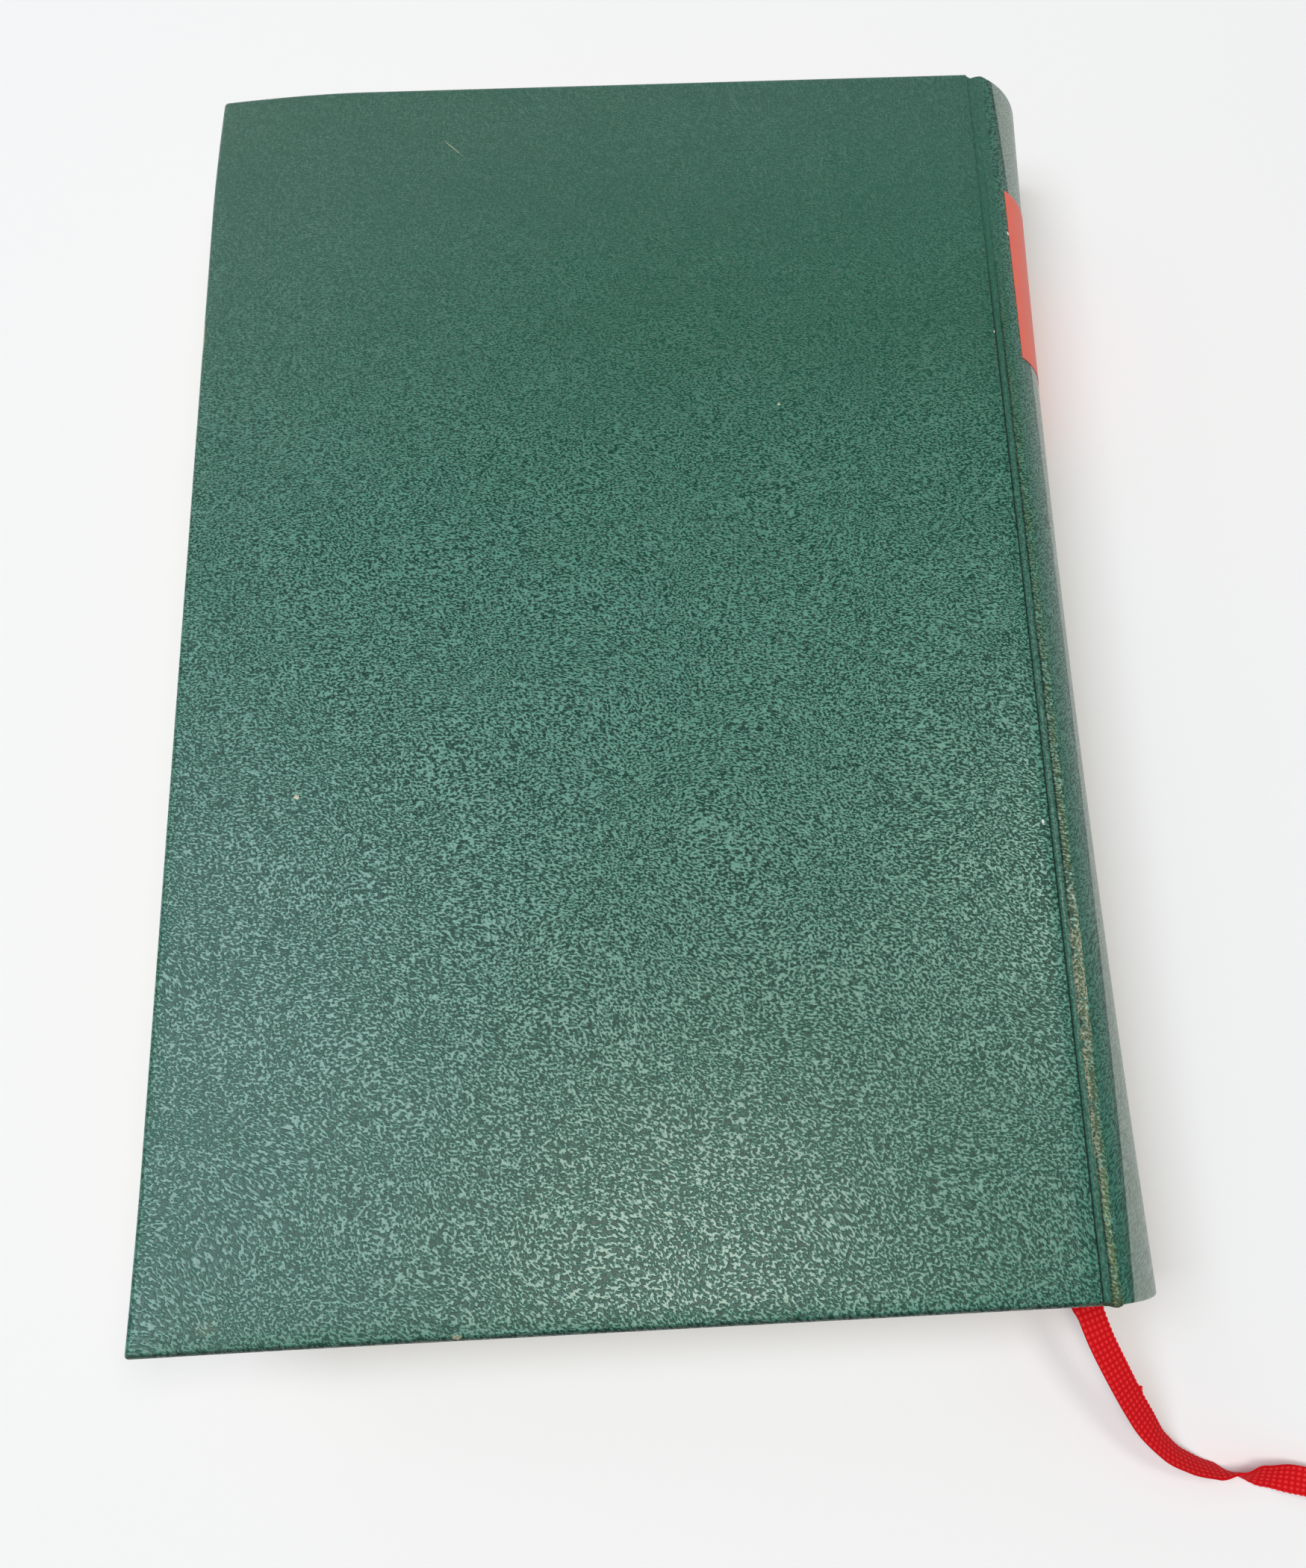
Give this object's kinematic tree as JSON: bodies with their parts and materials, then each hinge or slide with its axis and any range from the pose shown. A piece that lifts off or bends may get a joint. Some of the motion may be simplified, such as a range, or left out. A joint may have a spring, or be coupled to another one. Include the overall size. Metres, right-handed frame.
{
  "type": "hardback book",
  "caption": "Closed hardback book with a rounded spine, covers that open, a plain spine label and a ribbon marker hanging out of the pages at the tail.",
  "frame": {"origin": "centre of the closed book's outline, on the surface that its front cover lies on", "axes": "+X from the fore edge to the spine, +Y from the tail to the head, +Z from the front cover to the back cover"},
  "size_m": [0.1939, 0.2561, 0.03],
  "materials": {
    "pages": "matt",
    "endpaper": "matt",
    "gauze": "open weave",
    "endband": "wound thread",
    "ribbon": "woven, slight sheen",
    "covering": "pebbled grain, semi-gloss",
    "board": "matt",
    "label": "coated"
  },
  "bodies": {
    "block": {"page_block": "pages", "back_flyleaf": "endpaper", "front_flyleaf": "endpaper", "spine_mull": "gauze", "spine_lining": "endpaper", "headband": "endband", "tailband": "endband", "ribbon_marker": "ribbon", "ribbon_tail": "ribbon", "spine_cloth": "covering", "spine_inlay": "board", "title_label": "label"},
    "back_cover": {"back_board": "board", "back_cloth": "covering", "back_mull_flap": "gauze", "back_pastedown": "endpaper"},
    "front_cover": {"front_board": "board", "front_cloth": "covering", "front_mull_flap": "gauze", "front_pastedown": "endpaper"}
  },
  "joints": [
    {"name": "back_cover_hinge", "type": "hinge", "parent": "block", "child": "back_cover", "pos_m": [0.065, 0, 0.0297], "axis": [0, 1, 0], "range_deg": [0, 178]},
    {"name": "front_cover_hinge", "type": "hinge", "parent": "block", "child": "front_cover", "pos_m": [0.065, 0, 0.0003], "axis": [0, -1, 0], "range_deg": [0, 178]}
  ]
}
